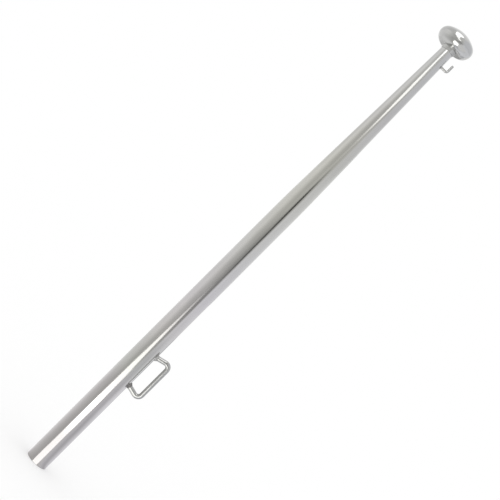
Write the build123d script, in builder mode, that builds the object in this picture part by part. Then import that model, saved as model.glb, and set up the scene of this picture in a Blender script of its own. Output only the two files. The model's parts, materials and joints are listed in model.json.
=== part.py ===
from build123d import *
from math import atan2, degrees
import os

# Stern flagpole for a small boat, in polished stainless steel.
#
# A round tube slides into a socket at its foot and is drawn to a taper over its upper third.
# A flattened ball truck closes the top, an upturned wire hook below it takes the upper eye of
# the flag, and a rod loop welded near the foot takes the line that hauls the flag down.
#
# Millimetres. The origin is the centre of the foot's end face, +Z runs up the pole, and the
# loop and the hook stand out along +X.

# Pole tube
pole_length = 599.3  # foot to the top end of the tube
pole_od = 25.0  # straight lower stretch, made to slide into a 25 mm socket
pole_wall = 1.5
taper_length = 222.3  # drawn stretch, measured down from the top end
top_od = 14.6
shoulder_radius = 1500.0  # easy blend where the taper begins
edge_break = 0.4

# Truck: a flattened ball on a flared collar, with a spigot inside the tube
truck_od = 42.4
truck_dome = 11.8  # rim up to the crown
rim_radius = 7.5  # where the rim turns into the crown
under_radius = 9.7  # where the rim turns into the flat face round the collar
collar_lip = 0.4  # how far the collar's foot stands proud of the tube's end
collar_flare = 0.9  # how much further out it is at its top
collar_height = 3.9
collar_break = 0.25
spigot_length = 14.0
spigot_clearance = 0.1

# Flag hook: wire welded on at right angles, then turned up beside the pole
hook_wire = 2.6
hook_drop = 15.3  # top end of the tube down to the shank's axis
hook_reach = 7.6  # tube surface to the upright's axis
hook_rise = 9.5  # shank's axis up to the tip
hook_bend = 2.2  # on the wire's axis
hook_tip_break = 0.3

# Halyard loop: one bent rod whose legs splay a little towards the bar
loop_rod = 5.6
loop_height = 122.9  # foot to the root of the lower leg
loop_spacing = 40.4  # between the roots of the legs
loop_reach = 16.5  # tube surface to the bar's axis
loop_splay = 4.2  # how far each leg leans out before its bend
loop_bend = 5.0  # on the rod's axis

# Weld beads: how wide the flare stands off the rod, and how far it climbs it
loop_weld_leg = 1.3
loop_weld_height = 2.1
hook_weld_leg = 0.5
hook_weld_height = 0.9
weld_toe = 0.2  # thickness where the bead ends on the rod
weld_edge = 0.3  # height of the bead's outer edge off the tube

root_depth = 2.0  # rods and beads start this far inside the tube, then are cut to its surface

# Derived places
taper_start = pole_length - taper_length
taper_slope = (pole_od - top_od) / 2 / taper_length
collar_top = pole_length + collar_height
rim_height = collar_top + under_radius
hook_height = pole_length - hook_drop
hook_root_radius = top_od / 2 + hook_drop * taper_slope
loop_bar_radius = pole_od / 2 + loop_reach
loop_top_height = loop_height + loop_spacing

os.makedirs("parts", exist_ok=True)


def pole_form(inset=0.0, blend=0.0):
    """Solid of the pole's outer form, or of its hollow when drawn in by the wall."""
    with BuildPart() as form:
        with BuildSketch(Plane.XZ):
            with BuildLine() as outline:
                Polyline(
                    (0, 0),
                    (pole_od / 2 - inset, 0),
                    (pole_od / 2 - inset, taper_start),
                    (top_od / 2 - inset, pole_length),
                    (0, pole_length),
                    close=True,
                )
                if blend:
                    shoulder = outline.vertices().sort_by_distance((pole_od / 2, taper_start))[0]
                    fillet(shoulder, blend)
            make_face()
        revolve(axis=Axis.Z)
    return form.part


def swept_rod(path, diameter):
    """Round rod along a path, cut to the pole's surface where it meets it."""
    with BuildPart() as rod:
        with BuildSketch(Plane(origin=path @ 0, z_dir=path % 0)):
            Circle(diameter / 2)
        sweep(path=path)
        add(pole_core.part, mode=Mode.SUBTRACT)
    return rod.part


def weld_bead(root, direction, rod, leg, height):
    """Flared bead round a rod that leaves the pole's surface at the root point."""
    inner = rod / 2
    with BuildPart() as bead:
        with BuildSketch(Plane(origin=root, x_dir=direction, z_dir=(0, -1, 0))):
            with BuildLine():
                Polyline(
                    (height, inner),
                    (-root_depth, inner),
                    (-root_depth, inner + leg),
                    (weld_edge, inner + leg),
                    (height, inner + weld_toe),
                    close=True,
                )
            make_face()
        revolve(axis=Axis(root, direction))
        add(pole_core.part, mode=Mode.SUBTRACT)
    return bead.part


# The pole's outer form as a solid, the cutter that fits everything welded to it
with BuildPart() as pole_core:
    add(pole_form(blend=shoulder_radius))

with BuildPart() as pole_tube:
    add(pole_core.part)
    add(pole_form(inset=pole_wall), mode=Mode.SUBTRACT)
    foot_edges = pole_tube.edges().filter_by(GeomType.CIRCLE).group_by(Axis.Z)[0]
    chamfer(foot_edges, edge_break)

with BuildPart() as truck:
    # the crown's arc has its centre on the axis and runs tangent into the rim's arc
    rim_centre = truck_od / 2 - rim_radius
    crown_radius = (rim_centre**2 + truck_dome**2 - rim_radius**2) / 2 / (truck_dome - rim_radius)
    rim_turn = degrees(atan2(crown_radius - truck_dome, rim_centre))
    collar_radius = top_od / 2 + collar_lip
    spigot_radius = top_od / 2 - pole_wall - spigot_clearance
    with BuildSketch(Plane.XZ) as half_truck:
        with BuildLine():
            Polyline(
                (0, rim_height + truck_dome),
                (0, pole_length - spigot_length),
                (spigot_radius, pole_length - spigot_length),
                (spigot_radius, pole_length),
                (collar_radius, pole_length),
                (collar_radius + collar_flare, collar_top),
                (truck_od / 2 - under_radius, collar_top),
            )
            JernArc((truck_od / 2 - under_radius, collar_top), (1, 0), under_radius, 90)
            rim = JernArc((truck_od / 2, rim_height), (0, 1), rim_radius, rim_turn)
            TangentArc(rim @ 1, (0, rim_height + truck_dome), tangent=rim % 1)
        make_face()
        lower_corners = [
            half_truck.vertices().sort_by_distance(corner)[0]
            for corner in (
                (collar_radius, pole_length),
                (spigot_radius, pole_length - spigot_length),
            )
        ]
        chamfer(lower_corners, collar_break)
    revolve(axis=Axis.Z)

with BuildLine(Plane.XZ) as hook_path:
    FilletPolyline(
        (hook_root_radius - root_depth, hook_height),
        (hook_root_radius + hook_reach, hook_height),
        (hook_root_radius + hook_reach, hook_height + hook_rise),
        radius=hook_bend,
    )

with BuildPart() as flag_hook:
    add(swept_rod(hook_path.line, hook_wire))
    tip = flag_hook.faces().filter_by(Plane.XY).sort_by(Axis.Z)[-1]
    chamfer(tip.edges(), hook_tip_break)

with BuildPart() as hook_weld:
    add(
        weld_bead(
            (hook_root_radius, 0, hook_height), (1, 0, 0), hook_wire, hook_weld_leg, hook_weld_height
        )
    )

with BuildLine(Plane.XZ) as loop_path:
    # each leg runs on inside the tube along its own slope
    inside = loop_splay * root_depth / loop_reach
    FilletPolyline(
        (pole_od / 2 - root_depth, loop_height + inside),
        (loop_bar_radius, loop_height - loop_splay),
        (loop_bar_radius, loop_top_height + loop_splay),
        (pole_od / 2 - root_depth, loop_top_height - inside),
        radius=loop_bend,
    )

with BuildPart() as halyard_loop:
    add(swept_rod(loop_path.line, loop_rod))

with BuildPart() as loop_weld_lower:
    add(
        weld_bead(
            (pole_od / 2, 0, loop_height),
            (loop_reach, 0, -loop_splay),
            loop_rod,
            loop_weld_leg,
            loop_weld_height,
        )
    )

with BuildPart() as loop_weld_upper:
    add(
        weld_bead(
            (pole_od / 2, 0, loop_top_height),
            (loop_reach, 0, loop_splay),
            loop_rod,
            loop_weld_leg,
            loop_weld_height,
        )
    )

pieces = {
    "pole_tube": pole_tube,
    "truck": truck,
    "flag_hook": flag_hook,
    "hook_weld": hook_weld,
    "halyard_loop": halyard_loop,
    "loop_weld_lower": loop_weld_lower,
    "loop_weld_upper": loop_weld_upper,
}
for name, piece in pieces.items():
    piece.part.label = name
    export_step(piece.part, f"parts/{name}.step")
    print(f"{name}: {piece.part.volume:.1f} mm3")
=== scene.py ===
import json
from math import atan, atan2, cos, degrees, hypot, pi, radians, sin, sqrt, tan

import bmesh
import bpy
from mathutils import Matrix, Vector, noise


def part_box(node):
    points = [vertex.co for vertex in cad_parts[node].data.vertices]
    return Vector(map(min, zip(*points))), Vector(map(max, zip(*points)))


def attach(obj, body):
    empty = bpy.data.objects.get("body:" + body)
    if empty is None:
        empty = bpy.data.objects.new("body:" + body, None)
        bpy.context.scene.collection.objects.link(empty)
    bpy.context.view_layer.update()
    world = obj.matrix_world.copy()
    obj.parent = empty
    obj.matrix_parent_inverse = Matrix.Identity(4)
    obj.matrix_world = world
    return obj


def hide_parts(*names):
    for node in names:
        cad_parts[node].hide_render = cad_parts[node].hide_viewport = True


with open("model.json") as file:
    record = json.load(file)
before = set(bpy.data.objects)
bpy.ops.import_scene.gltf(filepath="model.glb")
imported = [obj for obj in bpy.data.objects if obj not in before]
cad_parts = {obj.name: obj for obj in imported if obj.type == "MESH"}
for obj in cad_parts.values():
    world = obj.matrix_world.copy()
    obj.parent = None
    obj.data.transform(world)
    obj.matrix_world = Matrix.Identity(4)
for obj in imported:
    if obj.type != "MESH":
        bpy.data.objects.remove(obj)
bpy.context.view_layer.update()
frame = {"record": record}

# Stern flagpole for a small boat, in polished stainless steel. Metres, +Z up the pole, with the
# loop and the hook on the +X side.

MM = 0.001

# Places and sizes that the frame gives
mounts = {mount["name"]: mount["dims"] for mount in frame["record"]["mounts"]}
pole_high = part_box("pole_tube")[1]
truck_low, truck_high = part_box("truck")
hook_low, hook_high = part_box("flag_hook")
loop_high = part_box("halyard_loop")[1]

edge_break = 0.4 * MM
pole_radius = pole_high.x
pole_length = pole_high.z
bore_radius = mounts["lower_bore"]["r_mm"] * MM
pole_wall = pole_radius - bore_radius
taper_start = mounts["lower_bore"]["length_mm"] * MM + edge_break
truck_radius = truck_high.x
spigot_end = truck_low.z
hook_wire_radius = hook_high.y
hook_axis_z = hook_low.z + hook_wire_radius
hook_upright_x = hook_high.x - hook_wire_radius
loop_rod_radius = loop_high.y
loop_bar_x = loop_high.x - loop_rod_radius

# Sizes of the finer shapes
top_radius = 7.3 * MM
shoulder_radius = 1.5
truck_dome = 11.8 * MM
rim_radius = 7.5 * MM
under_radius = 9.7 * MM
collar_lip = 0.4 * MM
collar_flare = 0.9 * MM
collar_height = 3.9 * MM
collar_break = 0.25 * MM
spigot_clearance = 0.1 * MM
hook_bend = 2.2 * MM
hook_tip_break = 0.3 * MM
loop_root_z = 122.9 * MM
loop_spacing = 40.4 * MM
loop_splay = 4.2 * MM
loop_bend = 5.0 * MM
rod_seat = 1.0 * MM  # how far a rod's end sits in the tube's wall

taper_angle = atan((pole_radius - top_radius) / (pole_length - taper_start))
hook_root_x = top_radius + (pole_length - hook_axis_z) * tan(taper_angle)
loop_top_z = loop_root_z + loop_spacing
loop_reach = loop_bar_x - pole_radius
leg_lean = atan(loop_splay / loop_reach)
collar_top = pole_length + collar_height

# Weld beads: how wide each stands off its rod, and how far it climbs it
LOOP_BEAD = (1.3 * MM, 2.1 * MM)
HOOK_BEAD = (0.5 * MM, 0.9 * MM)

# Their flare, as shares of that width and that height
BEAD_FLARE = ((0.12, 1.0), (0.34, 0.52), (0.72, 0.2), (1.0, 0.08))
bead_overlap = 0.2 * MM  # how far a bead reaches into its rod

# Their ripples, as shares of the width
RIPPLE_DEPTH = 0.07
RIPPLE_DRAG = 2.0  # radians by which a ripple lags at the bead's outer edge
BEAD_WANDER = 0.12
WANDER_SCALE = 1.6
SMOOTH_ROOT = 0.05  # next to the rod

# How finely the curves are made
LATHE_STEPS = 192
SHOULDER_STEPS = 12
UNDER_STEPS = 32
RIM_STEPS = 24
CROWN_STEPS = 40
ROD_SIDES = 48
BEND_STEP = 4  # degrees
TIP_STEPS = 3
BEAD_STEPS = 96
BEAD_CUTS = 2
MERGE = 0.001 * MM
LEVEL = 0.1 * MM  # an edge that rises less than this counts as level

# Edges sharper than these stay sharp, in degrees
CREASE = 35
TRUCK_CREASE = 15
BEAD_CREASE = 60


# ---------------------------------------------------------------- shapes

def only(kind, parts):
    """The parts that are vertices, or those that are edges."""
    return [part for part in parts if isinstance(part, kind)]


def line_to(bm, vertex, radius, height):
    """One more straight stretch of a turned outline."""
    end = bmesh.ops.extrude_vert_indiv(bm, verts=[vertex])["verts"][0]
    end.co = (radius, 0, height)
    return end


def arc_to(bm, vertex, centre, angle, steps):
    """One more arc of a turned outline, anticlockwise for a positive angle."""
    turned = bmesh.ops.spin(
        bm,
        geom=[vertex],
        cent=(centre[0], 0, centre[1]),
        axis=(0, -1, 0),
        angle=angle,
        steps=steps,
        use_merge=False,
        use_duplicate=False,
    )
    return only(bmesh.types.BMVert, turned["geom_last"])[0]


def turn_outline(bm, steps=LATHE_STEPS):
    """The outline turned once round the pole's axis."""
    bmesh.ops.spin(
        bm,
        geom=bm.verts[:] + bm.edges[:],
        cent=(0, 0, 0),
        axis=(0, 0, 1),
        angle=2 * pi,
        steps=steps,
        use_merge=True,
        use_duplicate=False,
    )


def finish_piece(bm, name, material, crease=CREASE):
    """The bmesh as a smooth-shaded piece that stands for the CAD node of the same name."""
    bmesh.ops.remove_doubles(bm, verts=bm.verts, dist=MERGE)
    bmesh.ops.recalc_face_normals(bm, faces=bm.faces)
    mesh = bpy.data.meshes.new(name)
    bm.to_mesh(mesh)
    bm.free()
    mesh.shade_smooth()
    mesh.set_sharp_from_angle(angle=radians(crease))
    mesh.materials.append(material)
    piece = bpy.data.objects.new(name + "_finished", mesh)
    bpy.context.scene.collection.objects.link(piece)
    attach(piece, "root")
    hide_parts(name)


def make_pole(material):
    """Straight tube drawn to a taper at the top, open at the foot."""
    bm = bmesh.new()
    start = bm.verts.new((pole_radius - edge_break, 0, 0))
    end = line_to(bm, start, pole_radius, edge_break)
    end = line_to(bm, end, pole_radius, taper_start - shoulder_radius * tan(taper_angle / 2))
    end = arc_to(bm, end, (pole_radius - shoulder_radius, end.co.z), taper_angle, SHOULDER_STEPS)
    end = line_to(bm, end, top_radius, pole_length)
    end = line_to(bm, end, top_radius - pole_wall, pole_length)
    end = line_to(bm, end, bore_radius, taper_start)
    end = line_to(bm, end, bore_radius, edge_break)
    end = line_to(bm, end, bore_radius + edge_break, 0)
    bm.edges.new((end, start))
    turn_outline(bm)
    finish_piece(bm, "pole_tube", material)


def make_truck(material):
    """Flattened ball on a collar, with the spigot that holds it in the tube."""
    rim_height = collar_top + under_radius
    rim_centre = truck_radius - rim_radius
    crown_radius = (rim_centre**2 + truck_dome**2 - rim_radius**2) / 2 / (truck_dome - rim_radius)
    crown_centre = rim_height + truck_dome - crown_radius
    rim_turn = atan2(rim_height - crown_centre, rim_centre)
    spigot_radius = top_radius - pole_wall - spigot_clearance
    collar_radius = top_radius + collar_lip
    bm = bmesh.new()
    end = bm.verts.new((0, 0, spigot_end))
    end = line_to(bm, end, spigot_radius - collar_break, spigot_end)
    end = line_to(bm, end, spigot_radius, spigot_end + collar_break)
    end = line_to(bm, end, spigot_radius, pole_length)
    end = line_to(bm, end, collar_radius - collar_break, pole_length)
    end = line_to(bm, end, collar_radius, pole_length + collar_break)
    end = line_to(bm, end, collar_radius + collar_flare, collar_top)
    end = line_to(bm, end, truck_radius - under_radius, collar_top)
    end = arc_to(bm, end, (truck_radius - under_radius, rim_height), pi / 2, UNDER_STEPS)
    end = arc_to(bm, end, (rim_centre, rim_height), rim_turn, RIM_STEPS)
    arc_to(bm, end, (0, crown_centre), pi / 2 - rim_turn, CROWN_STEPS)
    turn_outline(bm)
    finish_piece(bm, "truck", material, crease=TRUCK_CREASE)


def bend_rod(bm, radius, start, heading, moves, bend_radius):
    """Round rod in the XZ plane: from its start it runs and turns, in (length, turn) pairs.

    The heading and the turns are angles from +X towards +Z. Returns the face at its far end."""
    along = Vector((cos(heading), 0, sin(heading)))
    circle = bmesh.ops.create_circle(
        bm,
        cap_ends=True,
        segments=ROD_SIDES,
        radius=radius,
        matrix=Matrix.Translation(start) @ along.to_track_quat("Z", "Y").to_matrix().to_4x4(),
    )
    ring = list({edge for vertex in circle["verts"] for edge in vertex.link_edges})
    place = Vector(start)
    for length, turn in moves:
        made = bmesh.ops.extrude_edge_only(bm, edges=ring)["geom"]
        fresh = only(bmesh.types.BMVert, made)
        bmesh.ops.translate(bm, verts=fresh, vec=along * length)
        ring = [edge for edge in only(bmesh.types.BMEdge, made) if set(edge.verts) <= set(fresh)]
        place += along * length
        if turn:
            side = Vector((-sin(heading), 0, cos(heading)))
            turned = bmesh.ops.spin(
                bm,
                geom=fresh + ring,
                cent=place + side * bend_radius,
                axis=(0, -1, 0),
                angle=turn,
                steps=round(degrees(turn) / BEND_STEP),
                use_merge=False,
                use_duplicate=False,
            )
            ring = only(bmesh.types.BMEdge, turned["geom_last"])
            heading += turn
            new_side = Vector((-sin(heading), 0, cos(heading)))
            place += (side - new_side) * bend_radius
            along = Vector((cos(heading), 0, sin(heading)))
    return bmesh.ops.edgeloop_fill(bm, edges=ring)["faces"][0]


def make_hook(material):
    """Wire hook: out from the tube, then up beside it."""
    bm = bmesh.new()
    start = Vector((hook_root_x - rod_seat, 0, hook_axis_z))
    run_out = hook_upright_x - hook_bend - start.x
    run_up = hook_high.z - hook_axis_z - hook_bend
    tip = bend_rod(bm, hook_wire_radius, start, 0, [(run_out, pi / 2), (run_up, 0)], hook_bend)
    bmesh.ops.bevel(
        bm,
        geom=tip.edges[:],
        offset=hook_tip_break,
        affect="EDGES",
        segments=TIP_STEPS,
        profile=0.5,
        material=-1,
    )
    finish_piece(bm, "flag_hook", material)


def make_loop(material):
    """Rod loop for the halyard: a bar held off the tube by two legs that splay towards it."""
    bm = bmesh.new()
    turn = pi / 2 + leg_lean
    corner = loop_bend * tan(turn / 2)
    leg = hypot(loop_reach, loop_splay) - corner + rod_seat
    bar = loop_spacing + 2 * loop_splay - 2 * corner
    down_leg = Vector((cos(leg_lean), 0, -sin(leg_lean)))
    start = Vector((pole_radius, 0, loop_root_z)) - down_leg * rod_seat
    moves = [(leg, turn), (bar, turn), (leg, 0)]
    bend_rod(bm, loop_rod_radius, start, -leg_lean, moves, loop_bend)
    finish_piece(bm, "halyard_loop", material)


def make_weld(name, root, lean, rod, tube, bead, ripples, seed, material):
    """Weld bead round a rod where it leaves the tube: a flare with the ripples of the weld pool.

    The rod and the tube are given by their radii."""
    width, height = bead
    bm = bmesh.new()
    start = end = bm.verts.new((rod - bead_overlap, 0, height))
    for across, up in BEAD_FLARE:
        end = line_to(bm, end, rod + across * width, up * height)
    end = line_to(bm, end, rod + width, -rod_seat)
    end = line_to(bm, end, rod - bead_overlap, -rod_seat)
    bm.edges.new((end, start))
    turn_outline(bm, steps=BEAD_STEPS)
    bmesh.ops.remove_doubles(bm, verts=bm.verts, dist=MERGE)
    rising = [edge for edge in bm.edges if abs(edge.verts[0].co.z - edge.verts[1].co.z) > LEVEL]
    bmesh.ops.subdivide_edges(bm, edges=rising, cuts=BEAD_CUTS, use_grid_fill=True)
    for vertex in bm.verts:
        across = hypot(vertex.co.x, vertex.co.y)
        share = (across - rod) / width
        if share < SMOOTH_ROOT:
            continue
        angle = atan2(vertex.co.y, vertex.co.x)
        ripple = RIPPLE_DEPTH * abs(sin(angle * ripples / 2 + RIPPLE_DRAG * share + seed))
        spot = Vector((cos(angle), sin(angle), seed)) * WANDER_SCALE
        wander = BEAD_WANDER * noise.noise(spot)
        vertex.co.xy *= 1 - (ripple - wander) * width * share / across
    # stand the bead on the rod's line, with its foot laid on the tube's round side
    leaned = Matrix.Translation(root) @ Matrix.Rotation(pi / 2 + lean, 4, "Y")
    bmesh.ops.transform(bm, matrix=leaned, verts=bm.verts)
    for vertex in bm.verts:
        drop = tube - sqrt(tube**2 - vertex.co.y**2)
        off_tube = max(0.0, vertex.co.x - root.x)
        vertex.co.x -= drop * max(0.0, 1 - off_tube / height)
    finish_piece(bm, name, material, BEAD_CREASE)


# ---------------------------------------------------------------- finishes

class Signal:
    """An output socket, so that shader maths reads as plain arithmetic."""

    def __init__(self, finish, socket):
        self.finish = finish
        self.socket = socket

    def part(self, name):
        """Another output of the same node."""
        return Signal(self.finish, self.socket.node.outputs[name])

    def __add__(self, other):
        return self.finish.maths("ADD", self, other)

    def __sub__(self, other):
        return self.finish.maths("SUBTRACT", self, other)

    def __rsub__(self, other):
        return self.finish.maths("SUBTRACT", other, self)

    def __mul__(self, other):
        return self.finish.maths("MULTIPLY", self, other)

    __radd__ = __add__
    __rmul__ = __mul__


class Finish:
    """A material and the nodes that make it."""

    def __init__(self, name):
        self.material = bpy.data.materials.new(name)
        self.material.use_nodes = True
        self.tree = self.material.node_tree
        self.tree.nodes.clear()
        self.output = self.tree.nodes.new("ShaderNodeOutputMaterial")

    def add(self, kind, settings=None, inputs=None, output=0):
        """A node of this kind, with its settings made first, then its sockets' values or links."""
        node = self.tree.nodes.new(kind)
        for name, value in (settings or {}).items():
            if name == "stops":
                while len(node.color_ramp.elements) < len(value):
                    node.color_ramp.elements.new(0.5)
                for element, (position, tone) in zip(node.color_ramp.elements, value):
                    element.position = position
                    element.color = (*tone, 1) if isinstance(tone, tuple) else (tone,) * 3 + (1,)
            else:
                setattr(node, name, value)
        for name, value in (inputs or {}).items():
            self.plug(node.inputs[name], value)
        return Signal(self, node.outputs[output])

    def plug(self, socket, value):
        if isinstance(value, Signal):
            self.tree.links.new(value.socket, socket)
        else:
            socket.default_value = value

    def surface(self, shader):
        """The material, with this shader on its surface."""
        self.plug(self.output.inputs["Surface"], shader)
        return self.material

    def metal(self, **inputs):
        """The steel's own shader. An underscore stands for a space in a socket's name."""
        sockets = {name.replace("_", " "): value for name, value in inputs.items()}
        return self.surface(
            self.add("ShaderNodeBsdfPrincipled", None, {"Metallic": 1.0, **sockets})
        )

    def maths(self, operation, first, second):
        return self.add("ShaderNodeMath", {"operation": operation}, {0: first, 1: second})

    def place(self):
        """Where each point is on the piece, in metres."""
        return self.add("ShaderNodeTexCoord", output="Object")

    def along(self, place, axis):
        """The place's X, Y or Z."""
        return self.add("ShaderNodeSeparateXYZ", None, {0: place}, output=axis)

    def scaled(self, vector, scale):
        return self.add(
            "ShaderNodeVectorMath", {"operation": "MULTIPLY"}, {0: vector, 1: scale}
        )

    def grain(self, vector, scale, detail, roughness=0.5):
        """Soft noise from 0 to 1. The scale is in grains to the metre."""
        return self.add(
            "ShaderNodeTexNoise",
            {"noise_dimensions": "3D"},
            {"Vector": vector, "Scale": scale, "Detail": detail, "Roughness": roughness},
        )

    def bump(self, height, strength, distance):
        return self.add(
            "ShaderNodeBump",
            None,
            {"Strength": strength, "Distance": distance, "Height": height},
        )

    def ramp(self, signal, start, end, interpolation="LINEAR"):
        """0 up to the start, 1 from the end on."""
        return self.add(
            "ShaderNodeMapRange",
            {"interpolation_type": interpolation},
            {"Value": signal, "From Min": start, "From Max": end},
        )

    def tone_ramp(self, signal, stops):
        """Colour ramp, with its stops as (position, grey level or colour)."""
        return self.add("ShaderNodeValToRGB", {"stops": stops}, {"Fac": signal}, output="Color")

    def blend(self, share, first, second, blend_type="MIX"):
        """The first colour where the share is 0, the second where it is 1."""
        colours = [tone if isinstance(tone, Signal) else (*tone, 1) for tone in (first, second)]
        return self.add(
            "ShaderNodeMix",
            {"data_type": "RGBA", "blend_type": blend_type},
            {"Factor": share, 6: colours[0], 7: colours[1]},
            output=2,
        )


# Grains to the metre
POLISHING_RINGS = (30, 30, 2600)
TUBE_CLOUD = (60, 60, 26)
TRUCK_CLOUD = 90.0
ROD_CLOUD = 220.0
WELD_GRAIN = 700.0

RING_DEPTH = 0.02 * MM
WELD_DEPTH = 0.1 * MM

# Where the truck's collar changes its finish
COLLAR_EDGE = 0.2 * MM  # over and under its top
JOINT_LINE = (0.2 * MM, 0.6 * MM)  # above the tube's end
# The collar grows darker over this span, out towards the hook
HOOK_SIDE_DARKENING = (3 * MM, 7 * MM)  # out towards the hook

# Faint tints that the polish took along the tube, from the foot to the top
TUBE_TINTS = [
    (0.0, (1.0, 0.965, 0.97)), (0.19, (1.0, 0.965, 0.97)), (0.24, (1.0, 1.0, 0.965)),
    (0.32, (1.0, 0.97, 0.96)), (0.4, (1.0, 0.97, 0.985)), (0.5, (1.0, 0.99, 0.975)),
    (0.62, (1.0, 0.99, 0.935)), (0.73, (1.0, 0.99, 0.93)), (0.84, (1.0, 0.985, 0.965)),
    (0.97, (1.0, 1.0, 0.99)),
]


def polished_tube_steel():
    """Long tube polished round its girth, a little cloudy along its length."""
    steel = Finish("polished_tube_steel")
    place = steel.place()
    rings = steel.grain(steel.scaled(place, POLISHING_RINGS), 1.0, detail=3.0)
    cloud = steel.grain(steel.scaled(place, TUBE_CLOUD), 1.0, detail=4.0, roughness=0.6)
    tint = steel.tone_ramp(steel.along(place, "Z") * (1 / pole_length), TUBE_TINTS)
    polish = steel.blend(cloud, (0.505, 0.505, 0.5), (0.61, 0.61, 0.61))
    return steel.metal(
        Base_Color=steel.blend(1.0, polish, tint, "MULTIPLY"),
        Roughness=0.09 + 0.06 * cloud,
        Normal=steel.bump(rings, 0.03, RING_DEPTH),
    )


def polished_truck_steel():
    """Polished truck. Its collar is left as turned, and is dark at the joint and by the hook."""
    steel = Finish("polished_truck_steel")
    place = steel.place()
    cloud = steel.grain(place, TRUCK_CLOUD, detail=3.0)
    height = steel.along(place, "Z")
    above_joint = height - pole_length
    turned = 1 - steel.ramp(above_joint, collar_height - COLLAR_EDGE, collar_height + COLLAR_EDGE)
    joint = 1 - steel.ramp(above_joint, *JOINT_LINE)
    # darker towards the hook, over the span above
    darker_by_hook = steel.ramp(height.part("X"), *HOOK_SIDE_DARKENING)
    polish = steel.blend(cloud, (0.49, 0.49, 0.48), (0.545, 0.545, 0.54))
    collar = steel.blend(0.5 * joint + 0.5 * darker_by_hook, (0.51, 0.51, 0.5), (0.24, 0.235, 0.23))
    return steel.metal(
        Base_Color=steel.blend(turned, polish, collar),
        Roughness=0.08 + 0.06 * cloud + 0.22 * turned,
    )


def drawn_rod_steel(name, dark, light, roughness):
    """Drawn rod or wire, a little cloudy between its dark and its light tone."""
    steel = Finish(name)
    cloud = steel.grain(steel.place(), ROD_CLOUD, detail=3.0)
    return steel.metal(
        Base_Color=steel.blend(cloud, dark, light), Roughness=roughness + 0.08 * cloud
    )


def weld_steel(name, dark, light):
    """Raw weld metal, dulled and darkened by the heat."""
    steel = Finish(name)
    grain = steel.grain(steel.place(), WELD_GRAIN, detail=4.0)
    return steel.metal(
        Base_Color=steel.blend(grain, dark, light),
        Roughness=0.3 + 0.2 * grain,
        Normal=steel.bump(grain, 0.3, WELD_DEPTH),
    )


# ---------------------------------------------------------------- the object

make_pole(polished_tube_steel())
make_truck(polished_truck_steel())
make_hook(drawn_rod_steel("hook_wire_steel", (0.4, 0.4, 0.39), (0.48, 0.48, 0.47), 0.2))
make_loop(drawn_rod_steel("loop_rod_steel", (0.4, 0.4, 0.39), (0.46, 0.46, 0.455), 0.14))

# The lower loop weld's copy of the weld metal is darker still: painted shade on that bead
shaded_weld = weld_steel("shaded_weld_steel", (0.15, 0.145, 0.14), (0.3, 0.29, 0.28))
grey_weld = weld_steel("grey_weld_steel", (0.38, 0.375, 0.365), (0.52, 0.515, 0.505))
make_weld(
    "loop_weld_lower", Vector((pole_radius, 0, loop_root_z)), leg_lean, loop_rod_radius,
    pole_radius, LOOP_BEAD, ripples=14, seed=1.0, material=shaded_weld,
)
make_weld(
    "loop_weld_upper", Vector((pole_radius, 0, loop_top_z)), -leg_lean, loop_rod_radius,
    pole_radius, LOOP_BEAD, ripples=14, seed=2.0, material=grey_weld,
)
make_weld(
    "hook_weld", Vector((hook_root_x, 0, hook_axis_z)), 0.0, hook_wire_radius,
    hook_root_x, HOOK_BEAD, ripples=10, seed=3.0, material=grey_weld,
)


# ---------------------------------------------------------------- floor, light and camera

# The camera stands level in front of the pole, rolled so that the truck is at the upper right
camera_side = 1.5 * MM
camera_distance = 1087 * MM
camera_height = 310.5 * MM
camera_roll = 45.105  # degrees
camera_lens = 75.6  # millimetres, as is the sensor
camera_sensor = 36.0

floor_size = 40.0  # half of its side
floor_paint = 0.8
floor_tone_radius = 1.75
FLOOR_TONE_SIDES = 64
floor_tone_height = 0.2 * MM
floor_sheet_height = 0.3 * MM

screen_radius = 1.8
screen_height = 0.3  # of its centre
SCREEN_SPAN = (-150, 140)  # azimuths of its sides
SCREEN_FOOT = -20  # elevation
SCREEN_PANELS = (24, 48)  # up and round

# How far from the pole the cards stand
standing_distance = 0.7
front_distance = 0.55
near_distance = 0.06
strip_distance = 0.045
rear_distance = 1.3

top_card_height = 1.2
truck_height = 0.6  # from which the level and rear cards are seen
crown_height = 0.61  # from which the top card is seen

# Grey levels round the pole, as (azimuth, level): on the floor, then up the screen, then behind
# the pole. Azimuth 0 is -Y and 90 is +X.
FOOT_TONES = [
    (-170, 1.0), (-140, 1.0), (-120, 0.96), (-100, 0.87), (-80, 0.77), (-60, 0.69), (-40, 0.61),
    (0, 0.66), (30, 0.8), (44, 0.78), (70, 0.62), (80, 0.67), (92, 0.79), (104, 0.88), (116, 0.95),
]
MIDDLE_TONES = [
    (-180, 0.98), (-158, 1.0), (-140, 1.0), (-120, 0.98), (-100, 0.84), (-80, 0.76), (-60, 0.71),
    (-40, 0.61), (0, 0.66), (30, 0.8), (44, 0.76), (66, 0.7), (80, 0.75), (96, 0.95), (112, 1.04),
    (131, 1.04), (145, 0.9), (180, 0.95),
]
FAR_TONES = [
    (-180, 0.85), (-158, 0.88), (-140, 0.96), (-110, 0.92), (-96, 0.9), (-83, 0.87), (-71, 0.83),
    (-60, 0.76), (-49, 0.68), (-36, 0.6), (0, 0.6), (30, 0.72), (50, 0.74), (70, 0.72), (83, 0.83),
    (96, 0.92), (110, 1.0), (130, 1.0), (142, 0.65), (180, 0.8),
]
SCREEN_TONES = [
    (-180, 0.85), (-158, 0.85), (-150, 0.97), (-80, 1.0), (-66, 0.93), (-50, 0.79), (-36, 0.68),
    (-20, 0.63), (0, 0.46), (12, 0.4), (30, 0.5), (40, 0.95), (50, 0.97), (60, 0.92), (80, 0.95),
    (115, 0.98), (135, 1.0), (145, 0.6), (180, 0.75),
]
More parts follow.
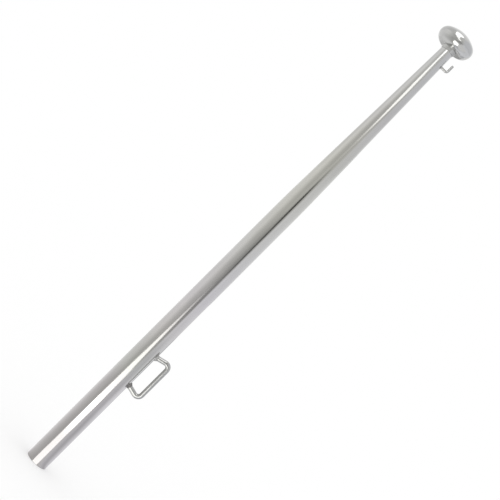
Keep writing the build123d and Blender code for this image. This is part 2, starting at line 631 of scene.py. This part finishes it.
LIFT_TONES = [
    (-80, 1.0), (-66, 0.95), (-50, 0.82), (-36, 0.7), (-20, 0.67), (-10, 0.72), (0, 0.66),
    (10, 0.5), (16, 0.5), (30, 0.6), (40, 0.9), (50, 0.93), (60, 0.9), (80, 0.93), (115, 0.98),
]
HIGH_TONES = [
    (-150, 0.9), (-118, 0.9), (-98, 1.0), (-82, 1.05), (-66, 0.96), (-50, 0.8), (-36, 0.68),
    (-20, 0.64), (0, 0.62), (24, 0.7), (40, 0.84), (80, 0.83), (120, 0.87), (140, 0.97),
]
TOP_TONES = [
    (-150, 0.95), (-125, 0.92), (-100, 0.84), (-60, 0.8), (0, 0.8), (40, 0.86), (120, 0.88),
    (140, 1.0),
]
REAR_TONES = [
    (-180, 0.6), (-172, 0.8), (-150, 0.85), (156, 0.4), (174, 0.42), (180, 0.5),
]

# The light is a little warmer in front and a little cooler on the loop's side
LIGHT_CASTS = [
    (-100, (1, 1, 1)), (-55, (1, 1, 0.98)), (5, (1, 1, 0.975)), (25, (1, 1, 0.99)),
    (48, (0.99, 1, 1.04)), (150, (0.99, 1, 1.04)), (170, (1, 1, 1)),
]


def by_azimuth(pairs):
    """(azimuth, tone) pairs as the stops of a ramp over one turn."""
    return [(azimuth / 360 + 0.5, tone) for azimuth, tone in pairs]


def glow(name, strength):
    """Plain light of a card."""
    light = Finish(name)
    return light.surface(light.add("ShaderNodeEmission", None, {"Strength": strength}))


def glow_round(name, axes, zones):
    """Light whose tone changes with the direction from the pole.

    Each zone is a distance along the axes and its tones: (azimuth, tone) pairs, or one number."""
    light = Finish(name)
    place = light.place()
    x = light.along(place, "X")
    turn = light.maths("ARCTAN2", x, 0 - x.part("Y")) * (0.5 / pi) + 0.5
    far = light.add(
        "ShaderNodeVectorMath", {"operation": "LENGTH"}, {0: light.scaled(place, axes)},
        output="Value",
    )
    tone = last = None
    for distance, tones in zones:
        if isinstance(tones, list):
            ring = light.tone_ramp(turn, by_azimuth(tones))
        else:
            ring = (tones, tones, tones)
        if tone:
            ring = light.blend(light.ramp(far, last, distance, "SMOOTHSTEP"), tone, ring)
        tone, last = ring, distance
    tone = light.blend(1.0, tone, light.tone_ramp(turn, by_azimuth(LIGHT_CASTS)), "MULTIPLY")
    return light.surface(light.add("ShaderNodeEmission", None, {"Color": tone}))


def stage_piece(bm, name, material, card=True):
    """A floor or a card. Only the steel's reflections show a card."""
    mesh = bpy.data.meshes.new(name)
    bm.to_mesh(mesh)
    bm.free()
    mesh.materials.append(material)
    thing = bpy.data.objects.new(name, mesh)
    bpy.context.scene.collection.objects.link(thing)
    if card:
        thing.visible_camera = False
        thing.visible_diffuse = False
        thing.visible_transmission = False
        thing.visible_shadow = False


def towards(azimuth, elevation=0):
    """Unit vector in this direction from the pole."""
    a, e = radians(azimuth), radians(elevation)
    return Vector((sin(a) * cos(e), -cos(a) * cos(e), sin(e)))


def make_card(name, corners, material):
    bm = bmesh.new()
    bmesh.ops.contextual_create(bm, geom=[bm.verts.new(corner) for corner in corners])
    stage_piece(bm, name, material)


def upright_card(name, distance, outline, material):
    """Card that stands in front of the pole. Its outline is (azimuth, height) pairs."""
    corners = []
    for azimuth, height in outline:
        corners.append((distance * tan(radians(azimuth)), -distance, height))
    make_card(name, corners, material)


def near_card(name, distance, outline, material):
    """Upright card so near that the tube's own thickness counts.

    Azimuths are those in which the tube's surface shows it."""
    corners = []
    for azimuth, height in outline:
        turn = radians(azimuth)
        across = pole_radius * sin(turn / 2) + (distance - pole_radius * cos(turn / 2)) * tan(turn)
        corners.append((across, -distance, height))
    make_card(name, corners, material)


def level_card(name, height, seen_from, outline, material):
    """Card that lies level. Its outline is (azimuth, elevation) pairs, seen from a height."""
    corners = []
    for azimuth, elevation in outline:
        reach = (height - seen_from) / tan(radians(elevation))
        corners.append(towards(azimuth) * reach + Vector((0, 0, height)))
    make_card(name, corners, material)


def make_floor():
    """White floor. It adds back the light that its own paint keeps, for all but diffuse rays."""
    floor = Finish("white_floor")
    camera = floor.add("ShaderNodeLightPath", output="Is Camera Ray")
    seen = camera + camera.part("Is Glossy Ray") + camera.part("Is Transmission Ray")
    matt = floor.add("ShaderNodeBsdfDiffuse", None, {"Color": (floor_paint,) * 3 + (1,)})
    lift = floor.add("ShaderNodeEmission", None, {"Strength": seen * (1 - floor_paint)})
    bm = bmesh.new()
    bmesh.ops.create_grid(bm, x_segments=1, y_segments=1, size=floor_size)
    stage_piece(
        bm,
        "floor",
        floor.surface(floor.add("ShaderNodeAddShader", None, {0: matt, 1: lift})),
        card=False,
    )


def make_floor_tone():
    """Round card on the floor that greys what the lower tube shows of it."""
    bm = bmesh.new()
    bmesh.ops.create_circle(bm, cap_ends=True, segments=FLOOR_TONE_SIDES, radius=floor_tone_radius)
    bmesh.ops.translate(bm, verts=bm.verts, vec=(0, 0, floor_tone_height))
    zones = [
        (0.3, FOOT_TONES), (0.45, MIDDLE_TONES), (0.65, MIDDLE_TONES), (0.95, FAR_TONES),
        (1.2, FAR_TONES), (screen_radius, SCREEN_TONES),
    ]
    stage_piece(bm, "floor_tone", glow_round("floor_tone", (1, 1, 0), zones))


def make_screen():
    """Grey dome of a screen round the camera's side, whose tone changes with direction."""
    first, last = SCREEN_SPAN
    up, round_pole = SCREEN_PANELS
    bm = bmesh.new()
    foot = towards(first, SCREEN_FOOT) * screen_radius + Vector((0, 0, screen_height))
    side = Vector((cos(radians(first)), sin(radians(first)), 0))
    bmesh.ops.spin(
        bm, geom=[bm.verts.new(foot)], cent=(0, 0, screen_height), axis=side, angle=-pi / 2,
        steps=up, use_merge=False, use_duplicate=False,
    )
    bmesh.ops.spin(
        bm, geom=bm.verts[:] + bm.edges[:], cent=(0, 0, 0), axis=(0, 0, 1),
        angle=radians(last - first), steps=round_pole, use_merge=False, use_duplicate=False,
    )
    zones = [
        (0.35, SCREEN_TONES), (0.5, LIFT_TONES), (0.6, LIFT_TONES), (0.7, HIGH_TONES),
        (1.0, HIGH_TONES), (1.25, TOP_TONES),
    ]
    stage_piece(bm, "screen", glow_round("screen_tone", (0, 0, 1), zones))


def make_low_cards():
    """The long bright stripe of the lower tube, and the dark line beside it."""
    sheet = (
        (-0.0026, -0.0115), (0.0025, -0.0115), (0.0335, -0.0709), (0.12, -0.24), (0.27, -0.48),
        (0.396, -0.7), (-0.25, -0.7), (-0.2, -0.508), (-0.112, -0.245), (-0.036, -0.0687),
    )
    zones = [
        (0.12, 1.8), (0.2, 1.78), (0.25, 3.0), (0.29, 3.0), (0.33, 2.8), (0.39, 3.6), (0.46, 4.0),
        (0.56, 1.85),
    ]
    make_card(
        "floor_sheet",
        [(x, y, floor_sheet_height) for x, y in sheet],
        glow_round("floor_sheet", (1, 1, 0), zones),
    )
    upright_card(
        "standing_card",
        standing_distance,
        [
            (-19.7, 0.0), (29.5, 0.0), (24.5, 0.021), (21, 0.038), (17.2, 0.055), (14, 0.081),
            (11.5, 0.106), (8, 0.141), (7, 0.2), (-6, 0.2), (-5.5, 0.141), (-9.5, 0.106),
            (-10, 0.081), (-18, 0.038),
        ],
        glow_round("standing_card", (0, 0, 1), [(0.1, 1.85), (0.14, 1.35), (0.2, 0.7)]),
    )
    zones = [
        (0.13, 0.75), (0.16, 0.52), (0.2, 0.42), (0.25, 0.33), (0.31, 0.16), (0.39, 0.1),
        (0.435, 0.5),
    ]
    near_card(
        "dark_strip",
        near_distance,
        [
            (23, 0.13), (31, 0.13), (27.5, 0.3), (25, 0.38), (23, 0.42), (21, 0.435), (10, 0.435),
            (10, 0.37), (14.5, 0.3), (16.5, 0.19), (19, 0.165),
        ],
        glow_round("dark_strip", (0, 0, 1), zones),
    )


def make_high_cards():
    """The bright stripe of the taper, which runs on over the truck."""
    zones = [(0.43, 0.68), (0.53, 0.74), (0.575, 0.78), (0.632, 1.82)]
    upright_card(
        "front_card",
        front_distance,
        [
            (2, 0.43), (4, 0.49), (6, 0.53), (8, 0.57), (10, 0.6), (11, 0.618), (13, 0.65),
            (16, 0.681), (15.5, 0.69), (8.3, 0.716), (-4, 0.742), (-5, 0.7675), (-25, 0.7675),
            (-25, 0.744), (-21, 0.712), (-15, 0.681), (-11, 0.65), (-5, 0.618), (-5, 0.6),
            (-10, 0.57), (-14, 0.52), (-14, 0.43),
        ],
        glow_round("front_card", (0, 0, 1), zones),
    )
    bright = glow("bright_card", 2.3)
    upright_card(
        "upper_card",
        front_distance,
        [(0, 0.77), (-5, 0.833), (-5, 1.041), (-4, 1.2), (-43, 1.2), (-37, 0.888), (-25, 0.77)],
        bright,
    )
    level_card(
        "top_card",
        top_card_height,
        crown_height,
        [
            (-4, 46.9), (0, 50), (10, 58), (28, 72), (35, 80), (0, 88), (-90, 76), (-78, 67),
            (-59, 55), (-43, 38.1),
        ],
        bright,
    )


def make_level_cards():
    """Cards at the camera's own height, which only the truck and the rods show."""
    level_card(
        "side_sheet",
        camera_height,
        truck_height,
        [(48, -66), (33, -60), (23, -50), (22, -38), (27, -30), (29, -14), (86, -14), (86, -66)],
        glow("side_sheet", 0.95),
    )
    level_card(
        "leg_sheet",
        camera_height,
        truck_height,
        [(-8, -32), (8, -32), (8, -15.5), (-8, -15.5)],
        glow("leg_sheet", 0.45),
    )


def make_rear_cards():
    """What the truck's underside and the tube's edges show of the space behind."""
    centre = Vector((0, 0, truck_height))
    outline = ((156, -19.5), (204, -19.5), (204, -10), (174, -10), (174, 2), (156, 2))
    make_card(
        "rear_card",
        [towards(azimuth, elevation) * rear_distance + centre for azimuth, elevation in outline],
        glow_round("rear_card", (0, 1, 0), [(1.0, REAR_TONES)]),
    )
    for name, left, right, zones in (
        ("rear_strip", -0.0085, 0.0015, [(0.57, 1.6), (0.59, 1.0)]),
        ("rear_dark_strip", -0.026, -0.011, [(0.44, 0.45), (0.52, 1.0)]),
    ):
        top = zones[-1][0]
        make_card(
            name,
            [
                (left, strip_distance, 0), (right, strip_distance, 0),
                (right, strip_distance, top), (left, strip_distance, top),
            ],
            glow_round(name, (0, 0, 1), zones),
        )


def make_world():
    world = bpy.data.worlds.new("plain_white")
    world.use_nodes = True
    background = world.node_tree.nodes["Background"]
    background.inputs["Color"].default_value = (1, 1, 1, 1)
    background.inputs["Strength"].default_value = 1.0
    bpy.context.scene.world = world


def make_camera():
    lens = bpy.data.cameras.new("camera")
    lens.lens = camera_lens
    lens.sensor_width = camera_sensor
    camera = bpy.data.objects.new("camera", lens)
    camera.location = (camera_side, -camera_distance, camera_height)
    camera.rotation_euler = (pi / 2, -radians(camera_roll), 0)
    bpy.context.scene.collection.objects.link(camera)
    bpy.context.scene.camera = camera


make_world()
make_camera()
make_floor()
make_floor_tone()
make_screen()
make_low_cards()
make_high_cards()
make_level_cards()
make_rear_cards()

bpy.context.scene.view_settings.view_transform = "Standard"
